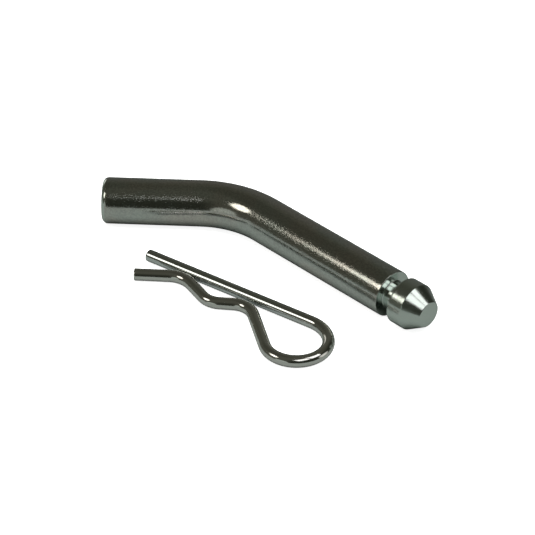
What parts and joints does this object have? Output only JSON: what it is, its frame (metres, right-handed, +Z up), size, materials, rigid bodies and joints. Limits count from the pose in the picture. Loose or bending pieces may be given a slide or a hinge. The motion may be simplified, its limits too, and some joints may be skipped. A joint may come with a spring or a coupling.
{
  "type": "bent hitch pin with hairpin clip",
  "caption": "Bent round steel hitch pin with a grooved, tapered nose, and a separate hairpin spring clip that snaps round its neck.",
  "frame": {"origin": "on the surface that the pieces lie on, under the middle of the whole assembly's box", "axes": "+X along the pin's shaft towards its nose, +Z up from the surface; the handle bends towards -Y and the clip lies on that side"},
  "size_m": [0.1262, 0.0564, 0.0159],
  "materials": {
    "zinc_plated_bar": "bright zinc plating over cold-drawn bar, finely grained",
    "zinc_plated_wire": "bright zinc plating over smooth spring wire"
  },
  "bodies": {
    "pin": {"bent_pin": "zinc_plated_bar"},
    "clip": {"clip_straight_leg": "zinc_plated_wire"},
    "clip_leg": {"clip_spring_leg": "zinc_plated_wire"}
  },
  "joints": [
    {"name": "clip_lift", "type": "slide", "parent": "pin", "child": "clip", "axis": [0, 0, 1], "range_m": [0, 0.08]},
    {"name": "clip_flex", "type": "hinge", "parent": "clip", "child": "clip_leg", "pos_m": [0.04791, -0.01228, 0.00206], "axis": [0, 0, 1], "range_deg": [0, 9], "stiffness_Nm_per_rad": 65}
  ]
}
